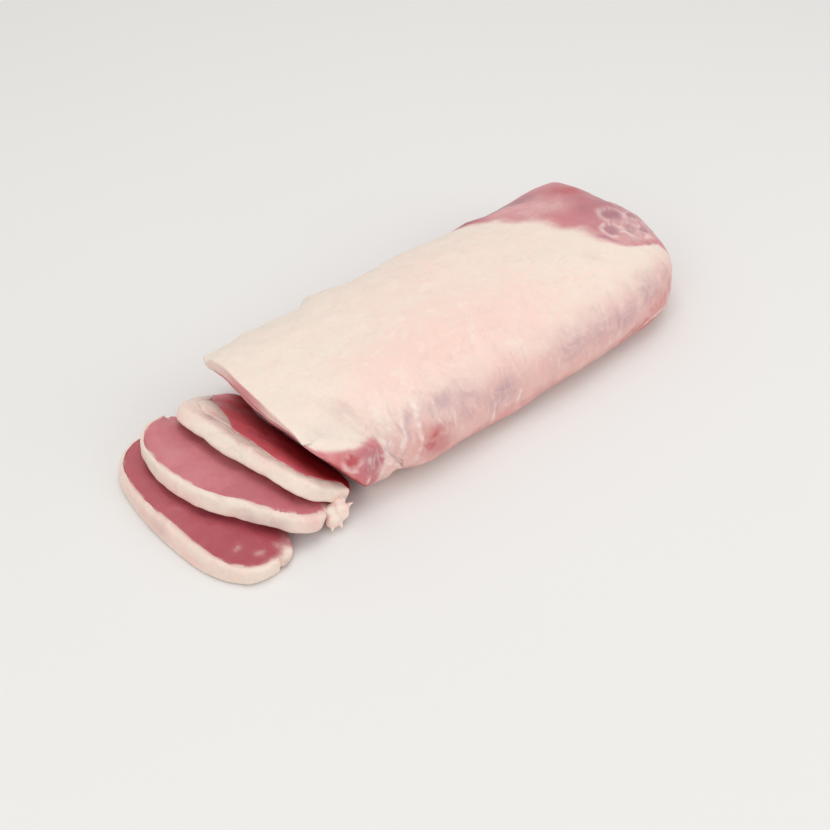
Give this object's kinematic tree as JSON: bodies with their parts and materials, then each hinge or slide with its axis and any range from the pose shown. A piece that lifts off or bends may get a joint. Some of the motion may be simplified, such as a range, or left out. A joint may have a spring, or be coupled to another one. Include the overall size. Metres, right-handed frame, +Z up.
{
  "type": "boneless pork loin with slices",
  "caption": "Raw boneless pork loin with a fat cap over its top, squared off at the near end by a slanted cut, with slices cut from that end lying overlapped against it.",
  "frame": {"origin": "middle of the bounding box's underside, on the surface that the meat lies on", "axes": "+X along the loin from its slices and cut end to its trimmed far end, +Y across it to the back, +Z up with the fat cap on top"},
  "size_m": [0.3698, 0.1364, 0.0538],
  "materials": {
    "lean": "moist raw pork, pinkish red, semi-gloss",
    "fat": "pork fat with a thin skin of membrane, cream to pink, soft sheen"
  },
  "bodies": {
    "root": {"loin_lean": "lean", "loin_fat_cap": "fat", "slice_1_lean": "lean", "slice_1_fat": "fat", "slice_2_lean": "lean", "slice_2_fat": "fat", "slice_3_lean": "lean", "slice_3_fat": "fat"}
  },
  "joints": []
}
